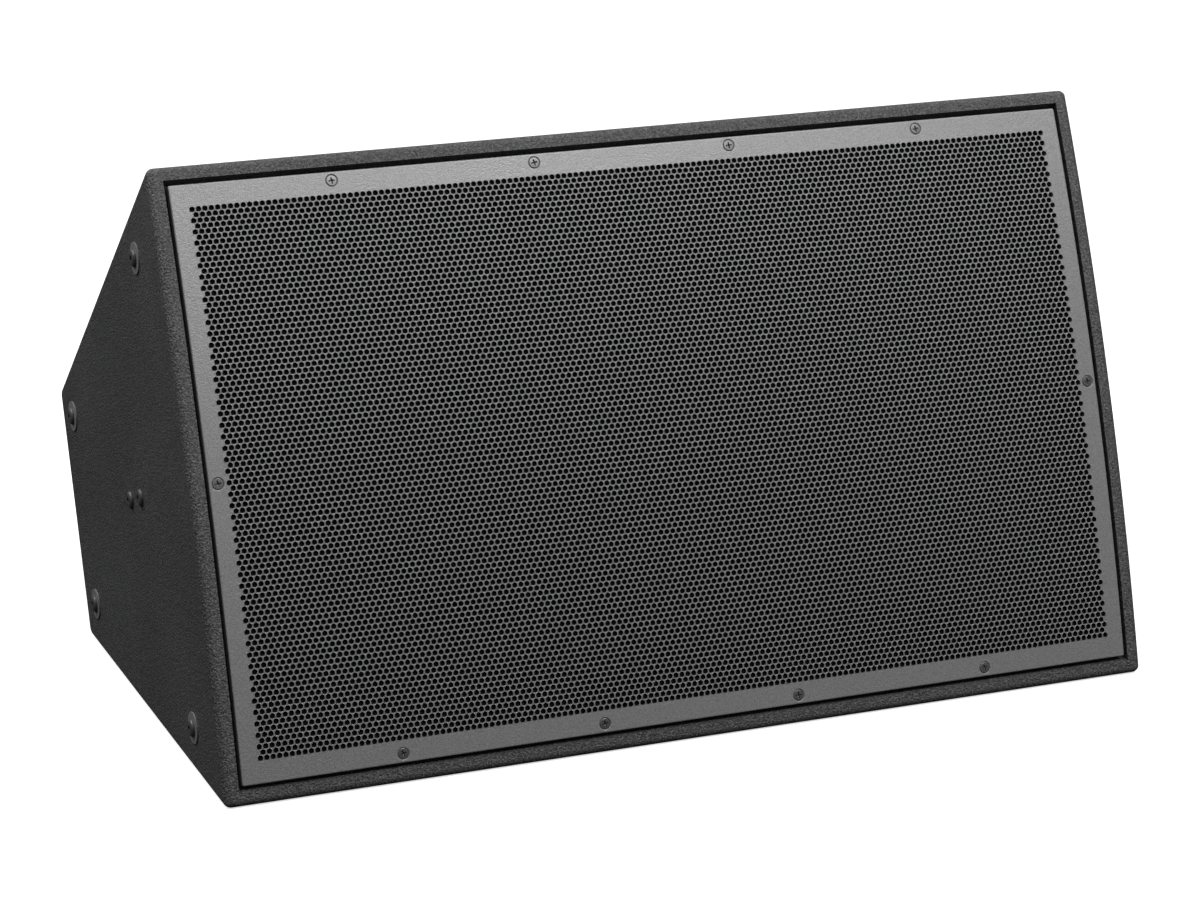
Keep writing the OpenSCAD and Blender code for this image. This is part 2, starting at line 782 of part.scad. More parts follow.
module input_plate_screws() {
    color("#404040") in_front() at_input() at_plate_screws() mirror([0, 0, 1])
        turned([[0, plate_t + 2.2], [2, plate_t + 2.2], [3.6, plate_t + 1.2], [3.6, plate_t],
            [1.9, plate_t], [1.9, -10], [0, -10]]);
}

module socket_screws() {
    seat = plate_t + 2;
    color("#404040") in_front() at_input() at_socket_screws() mirror([0, 0, 1])
        turned([[0, seat + 1.7], [1.4, seat + 1.7], [2.6, seat + 0.9], [2.6, seat],
            [1.4, seat], [1.4, -3], [0, -3]]);
}

module at_crossover() {
    translate([crossover_x, 0, inner_back]) children();
}

module at_standoffs() {
    for (x = [-73, 73], y = [-53, 53]) translate([x, y, 0]) children();
}

module crossover_board() {
    color("#2c4a34") in_front() at_crossover() difference() {
        union() {
            translate([-80, -60, 10]) cube([160, 120, 1.6]);
            translate([-78, -28, 11.6]) cube([20, 56, 3.4]);
        }
        at_standoffs() cylinder(r = 1.6, h = 20, $fn = fine);
    }
}

module crossover_standoffs() {
    color("#b8a060") in_front() at_crossover() at_standoffs() {
        cylinder(r = 4, h = 10, $fn = 6);
        translate([0, 0, 10]) cylinder(r = 1.5, h = 1.6, $fn = fine);
        translate([0, 0, 11.6]) cylinder(r = 3, h = 2, $fn = fine);
    }
}

module crossover_coils() {
    color("#a8582c") in_front() at_crossover()
        for (c = [[-15, 31, 24, 20], [-15, -31, 22, 18], [42, 33, 20, 24]])
            translate([c[0], c[1], 0]) ring(c[2], 9, 11.6, 11.6 + c[3]);
}

module crossover_capacitors() {
    color("#b8912c") in_front() at_crossover() for (c = [[30, -14, 9], [30, -34, 8], [30, -52, 7]])
        translate([c[0], c[1], 11.6 + c[2]]) rotate([0, 90, 0])
            cylinder(r = c[2], h = 38, $fn = fine);
}

module crossover_resistors() {
    color("#d8d4c8") in_front() at_crossover() for (y = [5, -9])
        translate([16, y - 4, 11.6]) cube([12, 9, 9]);
}

module input_cable() {
    color("#202020") in_front() cable(input_route, 6);
}

module woofer_cable() {
    color("#202020") in_front() cable(woofer_route, 5);
}

module driver_cable() {
    color("#202020") in_front() cable(driver_route, 4);
}

// ---- Damping ----

module slope_lining() {
    under_top(4 - inner_x, brace_x[0] - 3, ply, ply + lining_t, -85, inner_back + 3);
    under_top(brace_x[1] + 3, inner_x - 4, ply, ply + lining_t, -150, inner_back + 3);
}

module lining_upper() {
    color("#c8c4b8") in_front() slope_lining();
}

module lining_lower() {
    color("#c8c4b8") in_front() mirror([0, 1, 0]) slope_lining();
}

module lining_side() {
    depth_front = -90;
    depth_back = inner_back + 3;
    gap = (lining_t + 2) / cos(slant);
    color("#c8c4b8") in_front() for (m = [0, 1]) mirror([m, 0, 0]) difference() {
        cavity(inner_x - lining_t, inner_x, depth_front, depth_back, gap);
        for (p = concat(rigging_points, yoke_points)) translate([inner_x, p[0], p[1]])
            rotate([0, 90, 0]) cylinder(r = 15, h = 3 * lining_t, center = true, $fn = fine);
    }
}

side_panel_left();
side_panel_right();
top_panel();
bottom_panel();
rear_panel();
baffle();
baffle_cleats();
window_brace();
port_duct_upper();
port_duct_lower();
grille_frame();
grille();
grille_foam();
grille_screws();
rigging_washers();
rigging_bolts();
yoke_bolts();
threaded_inserts();
woofer_basket();
woofer_gasket();
woofer_surround();
woofer_cone();
woofer_dust_cap();
woofer_former();
woofer_voice_coil();
woofer_spider();
woofer_top_plate();
woofer_magnet();
woofer_yoke();
woofer_terminals();
woofer_screws();
horn();
horn_screws();
driver_gasket();
driver_front_plate();
driver_magnet();
driver_top_plate();
phase_plug();
driver_diaphragm();
driver_voice_coil();
driver_suspension();
driver_mounting_ring();
driver_cover();
driver_screws();
input_plate();
input_sockets();
input_plate_screws();
socket_screws();
crossover_board();
crossover_standoffs();
crossover_coils();
crossover_capacitors();
crossover_resistors();
input_cable();
woofer_cable();
driver_cable();
lining_lower();
lining_upper();
lining_side();
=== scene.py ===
"""Looks of the stage monitor wedge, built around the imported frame.

All shapes below are in millimetres in the front's own frame, as in the CAD source: x to the
right, y up along the front's slant, z straight out of it. On the bowed front itself, s is the
length along the bow instead of y and d the height off it. to_row() turns them into metres in
the row frame. Relief heights and the places of camera, floor and lights are in metres.
"""

import math

import bmesh
import bpy
import numpy as np
from mathutils import Matrix, Vector
from mathutils.geometry import delaunay_2d_cdt


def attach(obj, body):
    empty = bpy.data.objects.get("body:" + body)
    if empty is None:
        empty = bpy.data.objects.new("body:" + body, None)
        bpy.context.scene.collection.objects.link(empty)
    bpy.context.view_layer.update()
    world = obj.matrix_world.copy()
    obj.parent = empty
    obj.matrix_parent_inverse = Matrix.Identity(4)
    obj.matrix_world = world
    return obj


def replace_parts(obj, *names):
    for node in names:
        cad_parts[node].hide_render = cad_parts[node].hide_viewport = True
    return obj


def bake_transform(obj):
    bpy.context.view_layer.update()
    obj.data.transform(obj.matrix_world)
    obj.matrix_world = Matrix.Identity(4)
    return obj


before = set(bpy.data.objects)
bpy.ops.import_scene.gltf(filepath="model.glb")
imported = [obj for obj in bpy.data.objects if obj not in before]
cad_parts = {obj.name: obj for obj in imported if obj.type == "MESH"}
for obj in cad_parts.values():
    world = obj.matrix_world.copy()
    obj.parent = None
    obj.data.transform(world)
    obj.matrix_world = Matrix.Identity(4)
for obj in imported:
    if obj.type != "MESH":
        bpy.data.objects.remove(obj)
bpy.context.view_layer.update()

# ---- The cabinet's own sizes, as in the CAD source ----

SLANT = math.radians(20)
FRONT_R = 2350.0  # radius of the front's bow
FRONT_H = 487.0
FRONT_SAG = FRONT_R - math.sqrt(FRONT_R**2 - FRONT_H**2 / 4)
CABINET_D = 395.0
PLY = 12.0
RIM_R = 5.0  # rounding of the top and bottom front edges
EDGE_R = 9.5  # rounding of the rear edges
SIDE_R = 6.5  # rounding of the side panels' outside edges, in the visual model only
GRILLE_W = 752.0
GRILLE_H = 454.0
SHEET_T = 1.5
LIP_D = 8.0  # how far the grille's edges are folded back
SCREW_PITCH = 165.4
SCREW_UP = 220.0
SCREW_SIDE = 368.8
WOOFER_X = -168.0
HORN_X = 207.0
BAFFLE_Z = -40.0
DRIVER_Z = -216.0
INNER_X = 379.0  # half the width inside
INNER_BACK = PLY - CABINET_D
BRACE_X = (34.0, 46.0)
LINING_T = 20.0
BOLT_POINTS = ((181, -77), (79, -354), (-79, -354), (-181, -77), (0, -187), (0, -153.5))


def outer_up(z):
    """Half the cabinet's height, square to the front's axis, at depth z."""
    return FRONT_H / 2 + (z + FRONT_SAG) * math.tan(SLANT)


def frame_place():
    """Where the front's frame sits in the row frame, in mm: (Y, Z) of its origin."""
    corner = math.radians(90) - SLANT + math.asin(FRONT_H / 2 / FRONT_R)
    near = (  # Y of the foremost edge, the bottom front one, from the origin
        -FRONT_H / 2 * math.sin(SLANT)
        + FRONT_SAG * math.cos(SLANT)
        + RIM_R * (1 / math.tan(corner / 2) - 1)
    )
    cut = math.cos(math.radians(45) - 1.5 * SLANT) / math.sin(math.radians(45) + SLANT / 2)
    far = (  # Y of the rearmost edge, the top rear one
        outer_up(-CABINET_D) * math.sin(SLANT)
        + CABINET_D * math.cos(SLANT)
        - EDGE_R * (cut - 1)
    )
    return -(near + far) / 2, FRONT_H / 2 * math.cos(SLANT) + FRONT_SAG * math.sin(SLANT)


FRAME_Y, FRAME_Z = frame_place()
OUT = Vector((0, -math.cos(SLANT), math.sin(SLANT)))  # out of the front, in the row frame


def to_row(points):
    """Points of the front's frame in mm, as an (n, 3) array in metres in the row frame."""
    p = np.asarray(points, float).reshape(-1, 3)
    s, c = math.sin(SLANT), math.cos(SLANT)
    return np.column_stack(
        (p[:, 0], FRAME_Y + p[:, 1] * s - p[:, 2] * c, FRAME_Z + p[:, 1] * c + p[:, 2] * s)
    ) / 1000


def on_bow(x, s, d):
    """Points of the front's frame at x across, s along the bow and d out of it."""
    turn = np.asarray(s, float) / FRONT_R
    r = FRONT_R + np.asarray(d, float)
    x = np.asarray(x, float) + 0 * r * turn
    return np.column_stack((x.ravel(), (r * np.sin(turn) + 0 * x).ravel(),
                            (r * np.cos(turn) - FRONT_R + 0 * x).ravel()))


# ---- Meshes ----

WELD = 2e-6  # metres


def shade_smooth(mesh, crease):
    """Smooth shading, with edges sharper than crease degrees kept sharp."""
    mesh.polygons.foreach_set("use_smooth", [True] * len(mesh.polygons))
    mesh.set_sharp_from_angle(angle=math.radians(crease))


def piece(name, points, faces, slot, smooth=None, ride=True):
    """A mesh object from points in the front's frame. smooth is the crease angle in degrees, or
    None for flat faces. ride is False for a piece that is attached to no body."""
    mesh = bpy.data.meshes.new(name)
    rows = to_row(points)
    if isinstance(faces, np.ndarray) and faces.shape[1] == 3:
        mesh.vertices.add(len(rows))
        mesh.vertices.foreach_set("co", rows.astype(np.float32).ravel())
        mesh.loops.add(faces.size)
        mesh.loops.foreach_set("vertex_index", faces.astype(np.int32).ravel())
        mesh.polygons.add(len(faces))
        mesh.polygons.foreach_set("loop_start", np.arange(0, faces.size, 3, dtype=np.int32))
    else:
        mesh.from_pydata(rows.tolist(), [], [list(map(int, f)) for f in faces])
    mesh.update(calc_edges=True)
    mesh.validate()
    if smooth is not None:
        shade_smooth(mesh, smooth)
    obj = bpy.data.objects.new(name, mesh)
    bpy.context.scene.collection.objects.link(obj)
    mesh.materials.append(bpy.data.materials[slot])
    if ride:
        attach(obj, "cabinet")
    return obj


def weld(obj, crease, outward=True):
    """Joins points that meet, drops empty faces, turns closed shells outward and smooths."""
    mesh = bmesh.new()
    mesh.from_mesh(obj.data)
    bmesh.ops.remove_doubles(mesh, verts=mesh.verts, dist=WELD)
    bmesh.ops.dissolve_degenerate(mesh, edges=mesh.edges, dist=WELD)
    if outward:
        bmesh.ops.recalc_face_normals(mesh, faces=mesh.faces)
    mesh.to_mesh(obj.data)
    mesh.free()
    shade_smooth(obj.data, crease)


def loft(rings, flip=False):
    """Quads between equal closed rings of points: (points, faces)."""
    n = len(rings[0])
    points = np.concatenate([np.asarray(r, float) for r in rings])
    faces = []
    for i in range(len(rings) - 1):
        for k in range(n):
            a, b = i * n + k, i * n + (k + 1) % n
            quad = (a, b, b + n, a + n)
            faces.append(quad[::-1] if flip else quad)
    return points, faces


def join(parts):
    """Several (points, faces) as one."""
    points, faces, base = [], [], 0
    for p, f in parts:
        points.append(np.asarray(p, float))
        faces += [tuple(int(i) + base for i in face) for face in f]
        base += len(p)
    return np.concatenate(points), faces


def circle(steps):
    """Angles of equal steps round a circle."""
    return np.arange(steps) * 2 * math.pi / steps


def outlines(loops):
    """Closed loops of flat points as (points, edges), for a constrained triangulation."""
    points, edges = [], []
    for loop in loops:
        base = len(points)
        points += [tuple(q) for q in loop]
        edges += [(base + i, base + (i + 1) % len(loop)) for i in range(len(loop))]
    return points, edges


def triangulate(points, edges, kind, reach):
    """Delaunay triangles that keep the edges: (flat points as an array, triangles). kind is
    0 for the whole hull and 1 for inside the outlines; points closer than reach are joined."""
    got = delaunay_2d_cdt([Vector(q) for q in points], edges, [], kind, reach)
    return np.array([(q.x, q.y) for q in got[0]]), got[2]


# ---- Materials ----


class Finish:
    """A procedural material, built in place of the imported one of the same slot."""

    def __init__(self, slot):
        material = bpy.data.materials.get(slot) or bpy.data.materials.new(slot)
        material.use_nodes = True
        self.tree = material.node_tree
        self.tree.nodes.clear()
        out = self.add("ShaderNodeOutputMaterial")
        self.shader = self.add("ShaderNodeBsdfPrincipled")
        self.link(self.shader.outputs[0], out.inputs["Surface"])
        self.place = self.add("ShaderNodeTexCoord").outputs["Object"]
        self.height = None

    def add(self, kind, **settings):
        node = self.tree.nodes.new(kind)
        for key, value in settings.items():
            setattr(node, key, value)
        return node

    def link(self, a, b):
        self.tree.links.new(a, b)

    def put(self, socket, value):
        """Links an output to a socket, or sets the socket to a number or an RGB colour."""
        if isinstance(value, bpy.types.NodeSocket):
            self.link(value, socket)
        elif isinstance(value, tuple):
            socket.default_value = (*value, 1)
        else:
            socket.default_value = value

    def set(self, node, **numbers):
        """Sets a node's inputs by name, with _ for a space."""
        for name, number in numbers.items():
            node.inputs[name.replace("_", " ")].default_value = number

    def noise(self, scale, detail=2.0, rough=0.5, stretch=None, distort=0.0):
        node = self.add("ShaderNodeTexNoise")
        where = self.place
        if stretch:
            mapping = self.add("ShaderNodeMapping")
            self.link(where, mapping.inputs["Vector"])
            self.set(mapping, Scale=stretch)
            where = mapping.outputs[0]
        self.link(where, node.inputs["Vector"])
        self.set(node, Scale=scale, Detail=detail, Roughness=rough, Distortion=distort)
        return node.outputs["Fac"]

    def cells(self, scale):
        node = self.add("ShaderNodeTexVoronoi", feature="F1")
        self.link(self.place, node.inputs["Vector"])
        self.set(node, Scale=scale, Randomness=1.0)
        return node.outputs["Distance"]

    def bands(self, scale, axis, distort):
        node = self.add("ShaderNodeTexWave", wave_type="BANDS", wave_profile="SIN",
                        bands_direction=axis)
        self.link(self.place, node.inputs["Vector"])
        self.set(node, Scale=scale, Distortion=distort)
        return node.outputs["Fac"]

    def span(self, value, low, high, a=0.0, b=1.0):
        """The value's range low to high, stretched to a to b and clamped."""
        node = self.add("ShaderNodeMapRange")
        self.link(value, node.inputs["Value"])
        self.set(node, From_Min=low, From_Max=high, To_Min=a, To_Max=b)
        return node.outputs["Result"]

    def math(self, how, a, b=0.0):
        node = self.add("ShaderNodeMath", operation=how)
        self.put(node.inputs[0], a)
        self.put(node.inputs[1], b)
        return node.outputs[0]

    def mix(self, factor, a, b):
        """A colour between a and b; inputs 6 and 7 and output 2 are the node's colours."""
        node = self.add("ShaderNodeMix", data_type="RGBA")
        self.put(node.inputs["Factor"], factor)
        self.put(node.inputs[6], a)
        self.put(node.inputs[7], b)
        return node.outputs[2]

    def relief(self, height, distance):
        """Adds a bump of this height in metres; later ones ride on earlier ones."""
        node = self.add("ShaderNodeBump")
        self.set(node, Strength=1.0, Distance=distance)
        self.link(height, node.inputs["Height"])
        if self.height is not None:
            self.link(self.height, node.inputs["Normal"])
        self.height = node.outputs[0]

    def done(self, colour, rough, metal=0.0, **others):
        """Wires the shader; others are its further inputs, with _ for a space."""
        self.put(self.shader.inputs["Base Color"], colour)
        self.put(self.shader.inputs["Roughness"], rough)
        self.set(self.shader, Metallic=metal, **others)
        self.link(self.height, self.shader.inputs["Normal"])


def grey(v):
    """A grey that is very slightly blue."""
    return (v, v, v * 1.01)


def coated(slot, dark, light, rough, grain, depth, metal=0.0, **others):
    """Paint, coating, casting or moulding: mottled colour, an even fine grain, varied gloss.
    grain is the noise's scale and depth its height in metres."""
    f = Finish(slot)
    fine = f.noise(grain, 3.0, 0.6)
    broad = f.noise(6.0, 3.0)
    shade = f.math("ADD", f.math("MULTIPLY", fine, 0.6), f.math("MULTIPLY", broad, 0.4))
    colour = f.mix(f.span(shade, 0.35, 0.65), dark, light)
    f.relief(fine, depth)
    f.done(colour, f.span(broad, 0.3, 0.7, rough - 0.05, rough + 0.05), metal, **others)


def make_cabinet_paint():
    """Rolled textured paint: soft grains about a millimetre across, lighter where high: painted
    highlights of light on their tops.
    """
    f = Finish("cabinet_paint")
    grains = f.noise(640.0, 2.0, 0.5)
    fine = f.noise(1500.0, 2.0, 0.6)
    broad = f.noise(5.0, 4.0)
    height = f.math("ADD", f.math("MULTIPLY", grains, 0.8), f.math("MULTIPLY", fine, 0.3))
    shade = f.math("ADD", height, f.math("MULTIPLY", broad, 0.12))
    # painted highlights: the higher the grain, the lighter its colour, as if lit from above
    painted_grain_highlights = f.math("POWER", f.span(shade, 0.40, 0.80), 2.0)
    colour = f.mix(painted_grain_highlights, grey(0.012), grey(0.100))
    f.relief(height, 0.0014)
    f.done(colour, f.span(broad, 0.3, 0.7, 0.48, 0.56), Specular_IOR_Level=0.42)


def make_grille_paint():
    """Fine satin powder coat on steel."""
    f = Finish("grille_paint")
    fine = f.noise(1050.0, 2.0, 0.6)
    peel = f.noise(420.0, 2.0)
    broad = f.noise(3.0, 3.0)
    colour = f.mix(f.span(fine, 0.3, 0.7), grey(0.085), grey(0.165))
    f.relief(peel, 0.00012)
    f.relief(fine, 0.00022)
    f.done(colour, f.span(broad, 0.3, 0.7, 0.36, 0.42), Specular_IOR_Level=0.7)


def make_birch():
    """Plywood: grain along the width with the plies' dark glue lines."""
    f = Finish("birch_ply")
    grain = f.noise(60.0, 4.0, 0.6, stretch=(0.08, 1.0, 1.0), distort=0.6)
    pores = f.noise(900.0, 2.0, 0.5, stretch=(0.05, 1.0, 1.0))
    plies = f.bands(95.0, axis="DIAGONAL", distort=0.3)
    wood = f.mix(f.span(grain, 0.35, 0.65), (0.42, 0.27, 0.13), (0.62, 0.45, 0.26))
    colour = f.mix(f.span(plies, 0.9, 1.0, 0.0, 0.25), wood, (0.2, 0.11, 0.05))
    f.relief(pores, 0.0001)
    f.done(colour, f.span(grain, 0.3, 0.7, 0.5, 0.65))


def make_foam():
    """Open-cell black foam, made nearly black as painted shade so that the holes in front of it
    stay dark; the holes' walls take it as painted shade too.
    """
    f = Finish("foam_black")
    pores = f.cells(520.0)
    fine = f.noise(1400.0, 2.0)
    colour = f.mix(f.span(pores, 0.1, 0.6), grey(0.001), grey(0.004))
    f.relief(pores, 0.0008)
    f.relief(fine, 0.0002)
    f.done(colour, 0.95, Specular_IOR_Level=0.05)


def make_wadding():
    """Off-white polyester wadding with tangled fibres and broad lumps."""
    f = Finish("wadding")
    fibres = f.noise(260.0, 6.0, 0.75, distort=2.5)
    lumps = f.noise(22.0, 4.0)
    colour = f.mix(f.span(fibres, 0.3, 0.7), (0.42, 0.40, 0.35), (0.72, 0.70, 0.64))
    f.relief(fibres, 0.0015)
    f.relief(lumps, 0.003)
    f.done(colour, 0.92, Sheen_Weight=0.4, Sheen_Roughness=0.6)


def make_woven(slot, dark, light, thread, depth, rough):
    """Impregnated cloth: two sets of threads that cross."""
    f = Finish(slot)
    warp = f.bands(thread, axis="X", distort=0.2)
    weft = f.bands(thread, axis="Z", distort=0.2)
    weave = f.math("MAXIMUM", warp, weft)
    stain = f.noise(60.0, 3.0)
    colour = f.mix(f.math("MULTIPLY", weave, f.span(stain, 0.2, 0.8, 0.6, 1.0)), dark, light)
    f.relief(weave, depth)
    f.done(colour, rough)


def make_cone():
    """Felted paper, dyed black."""
    f = Finish("cone_paper")
    fibres = f.noise(420.0, 6.0, 0.7, distort=1.5)
    felt = f.noise(90.0, 4.0)
    colour = f.mix(f.span(fibres, 0.35, 0.65), grey(0.008), grey(0.024))
    f.relief(fibres, 0.00025)
    f.relief(felt, 0.0003)
    f.done(colour, f.span(felt, 0.3, 0.7, 0.7, 0.85))


WIRE_PITCH = 0.0006  # metres


def make_copper():
    """Wound enamelled wire: fine turns along the drivers' axis."""
    f = Finish("copper_wire")
    along = f.add("ShaderNodeVectorMath", operation="DOT_PRODUCT")
    f.link(f.place, along.inputs[0])
    along.inputs[1].default_value = OUT
    turns = f.math("SINE", f.math("MULTIPLY", along.outputs["Value"], 2 * math.pi / WIRE_PITCH))
    drift = f.noise(30.0, 3.0)
    colour = f.mix(f.span(drift, 0.3, 0.7), (0.42, 0.13, 0.05), (0.62, 0.25, 0.11))
    f.relief(turns, 0.00012)
    f.done(colour, 0.3, 0.85, Coat_Weight=0.5, Coat_Roughness=0.15)


def make_materials():
    """Every slot's material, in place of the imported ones."""
    make_cabinet_paint()
    make_grille_paint()
    make_birch()
    make_foam()
    make_wadding()
    make_cone()
    make_copper()
    make_woven("spider_cloth", (0.22, 0.12, 0.04), (0.5, 0.33, 0.14), 250.0, 0.0002, 0.6)
    make_woven("surround_cloth", grey(0.006), grey(0.02), 260.0, 0.00015, 0.5)
    coated("baffle_paint", grey(0.008), grey(0.016), 0.75, 900.0, 0.0002)
    coated("black_screws", grey(0.07), grey(0.11), 0.36, 1500.0, 0.00002, 0.6)
    coated("washer_steel", grey(0.20), grey(0.26), 0.42, 1400.0, 0.00003, 0.5)
    coated("bolt_steel", grey(0.045), grey(0.07), 0.45, 1200.0, 0.00004, 0.3)
    coated("insert_steel", (0.45, 0.38, 0.24), (0.6, 0.52, 0.34), 0.35, 700.0, 0.00003, 0.9)
    coated("basket_cast", grey(0.012), grey(0.022), 0.5, 1100.0, 0.00012)
    coated("gasket_cork", grey(0.008), grey(0.018), 0.85, 700.0, 0.0002)
    coated("coil_former", (0.42, 0.27, 0.08), (0.55, 0.37, 0.13), 0.35, 300.0, 0.00002)
    coated("plated_steel", (0.38, 0.38, 0.40), (0.52, 0.52, 0.54), 0.33, 500.0, 0.00004, 0.95)
    coated("ferrite", grey(0.012), grey(0.026), 0.55, 500.0, 0.0002)
    coated("terminal_board", (0.13, 0.035, 0.015), (0.2, 0.06, 0.03), 0.4, 600.0, 0.00004)
    coated("horn_plastic", grey(0.009), grey(0.016), 0.55, 1300.0, 0.0001)
    coated("plug_alloy", (0.52, 0.52, 0.53), (0.66, 0.66, 0.67), 0.3, 400.0, 0.00003, 0.95)
    coated("diaphragm_titanium", (0.36, 0.36, 0.37), (0.5, 0.5, 0.51), 0.28, 300.0, 0.00002,
           0.95)
    coated("suspension_film", (0.36, 0.24, 0.07), (0.52, 0.37, 0.14), 0.3, 300.0, 0.00002)
    coated("cover_plastic", grey(0.012), grey(0.02), 0.5, 1200.0, 0.00008)
    coated("plate_paint", grey(0.02), grey(0.032), 0.45, 1600.0, 0.00008)
    coated("socket_plastic", grey(0.008), grey(0.015), 0.4, 900.0, 0.00005)
    coated("board_green", (0.012, 0.055, 0.025), (0.02, 0.085, 0.04), 0.35, 300.0, 0.00003)
    coated("standoff_brass", (0.5, 0.36, 0.12), (0.62, 0.46, 0.18), 0.3, 500.0, 0.00003, 0.95)
    coated("capacitor_film", (0.5, 0.3, 0.04), (0.62, 0.4, 0.07), 0.25, 200.0, 0.00003,
           Coat_Weight=0.4)
    coated("resistor_cement", (0.5, 0.48, 0.43), (0.66, 0.64, 0.58), 0.8, 800.0, 0.00015)
    coated("cable_jacket", grey(0.012), grey(0.02), 0.48, 600.0, 0.00004)


# ---- Grille ----

PITCH = 5.0
ROW = PITCH * math.sqrt(3) / 2
ROWS = 97
ROW_HOLES = 145  # in the even rows; the odd ones have one less
HOLE_R = 2.1
HOLE_SIDES = 12
BANDS = 5  # the field is made in as many pieces, each some rows high
FIELD_X = ROW_HOLES * PITCH / 2
FIELD_S = ROWS * ROW / 2
GRILLE_S = FRONT_R * math.asin(GRILLE_H / 2 / FRONT_R)
LATTICE_X = (np.arange(2 * ROW_HOLES + 1) - ROW_HOLES) * PITCH / 2  # half a pitch apart


def row_edge(k):
    """The s of the edge below row k of the field."""
    return (k - ROWS / 2) * ROW


def ring_triangles():
    """Triangles between a cell's six outer points (0 to 5) and its hole's points (6 on)."""
    order = "FA0 A10 A21 AB2 B32 B43 BC4 C54 C65 CD6 D76 D87 DE8 E98 Ea9 EFa Fba F0b"
    names = {c: i for i, c in enumerate("FABCDE0123456789ab")}
    return np.array([[names[c] for c in t] for t in order.split()])


def field_band(index):
    """One band of rows of the perforated sheet, with its holes' walls and its back."""
    first, last = (round(k * ROWS / BANDS) for k in (index, index + 1))
    wide = len(LATTICE_X)
    edge_x = np.tile(LATTICE_X, last - first + 1)
    edge_s = np.repeat(row_edge(np.arange(first, last + 1)), wide)
    hole_x, hole_s, outline, fill = [], [], [], []
    for r in range(first, last):
        low, high = (r - first) * wide, (r - first + 1) * wide
        short = r % 2
        middles = 1 + short + 2 * np.arange(ROW_HOLES - short)
        hole_x.append((middles - ROW_HOLES) * PITCH / 2)
        hole_s.append(np.full(len(middles), row_edge(r + 0.5)))
        outline.append(np.column_stack((low + middles + 1, high + middles + 1, high + middles,
                                        high + middles - 1, low + middles - 1, low + middles)))
        if short:  # the half cell at each end of the row has no hole
            for a in (0, wide - 2):
                fill += [[low + a, low + a + 1, high + a + 1], [low + a, high + a + 1, high + a]]
    hole_x, hole_s, outline = (np.concatenate(v) for v in (hole_x, hole_s, outline))
    turn = circle(HOLE_SIDES)
    rim_x = (hole_x[:, None] + HOLE_R * np.cos(turn)).ravel()
    rim_s = (hole_s[:, None] + HOLE_R * np.sin(turn)).ravel()
    x, s = np.concatenate((edge_x, rim_x)), np.concatenate((edge_s, rim_s))
    count, base = len(x), len(edge_x)
    rims = base + np.arange(len(rim_x)).reshape(-1, HOLE_SIDES)
    cells = np.hstack((outline, rims))
    front = np.concatenate((cells[:, ring_triangles()].reshape(-1, 3), np.array(fill)))
    a, b = rims.ravel(), np.roll(rims, -1, axis=1).ravel()
    walls = np.concatenate((np.column_stack((b, a, a + count)),
                            np.column_stack((b, a + count, b + count))))
    faces = np.concatenate((front, front[:, ::-1] + count, walls))
    points = np.concatenate((on_bow(x, s, 0), on_bow(x, s, -SHEET_T)))
    band = piece(f"grille_field_{index + 1}", points, faces, "grille_paint")
    band.data.materials.append(bpy.data.materials["foam_black"])
    material = np.zeros(len(faces), np.int32)
    material[2 * len(front):] = 1  # the holes' walls are dark: painted shade, their real coat is the sheet's own
    band.data.polygons.foreach_set("material_index", material)
    return band


OUTLINE_STEP = 4.0
CORNER_STEPS = 6


def outline_loop(half_x, half_s, radius):
    """A rounded rectangle about the middle, counter-clockwise: points and outward directions."""
    points, ways = [], []
    for cx, cs, start in ((1, 1, 0), (-1, 1, 90), (-1, -1, 180), (1, -1, 270)):
        for k in range(CORNER_STEPS + 1):
            t = math.radians(start + 90 * k / CORNER_STEPS)
            ways.append((math.cos(t), math.sin(t)))
            points.append((cx * (half_x - radius) + radius * math.cos(t),
                           cs * (half_s - radius) + radius * math.sin(t)))
        along_x = cx * cs > 0  # the straight run that follows goes along x
        end = (-cx * (half_x - radius), cs * half_s) if along_x else (
            cx * half_x, -cs * (half_s - radius))
        last, n = points[-1], int(2 * (half_x if along_x else half_s) / OUTLINE_STEP)
        for k in range(1, n):
            points.append(tuple(last[i] + (end[i] - last[i]) * k / n for i in (0, 1)))
            ways.append(ways[-1])
    return np.array(points), np.array(ways)


def screw_places():
    """Each grille screw's place, as x across and s along the bow."""
    up = FRONT_R * math.asin(SCREW_UP / FRONT_R)
    rows = [(k * SCREW_PITCH, m * up) for m in (1, -1) for k in (-1.5, -0.5, 0.5, 1.5)]
    return rows + [(-SCREW_SIDE, 0.0), (SCREW_SIDE, 0.0)]


SEAT_SIDES = 40
# a seat's section as (radius, height)
SEAT = ((5.3, 0.0), (5.05, -0.04), (4.85, -0.2), (4.7, -0.6), (3.2, -1.45), (2.3, -1.5))
SEAT_R = SEAT[0][0]
BEND_R = 1.0  # of the sheet's folded edge
FLAT_CORNER_R = 0.35
FLAT_RING = 0.5, 0.3  # a ring of points so far inside the flat's outline, its corner radius
SEAT_RING = 0.4  # a ring of points so far outside each seat
LIP_BREAK = 0.3  # the lip's two small edges are broken by this much


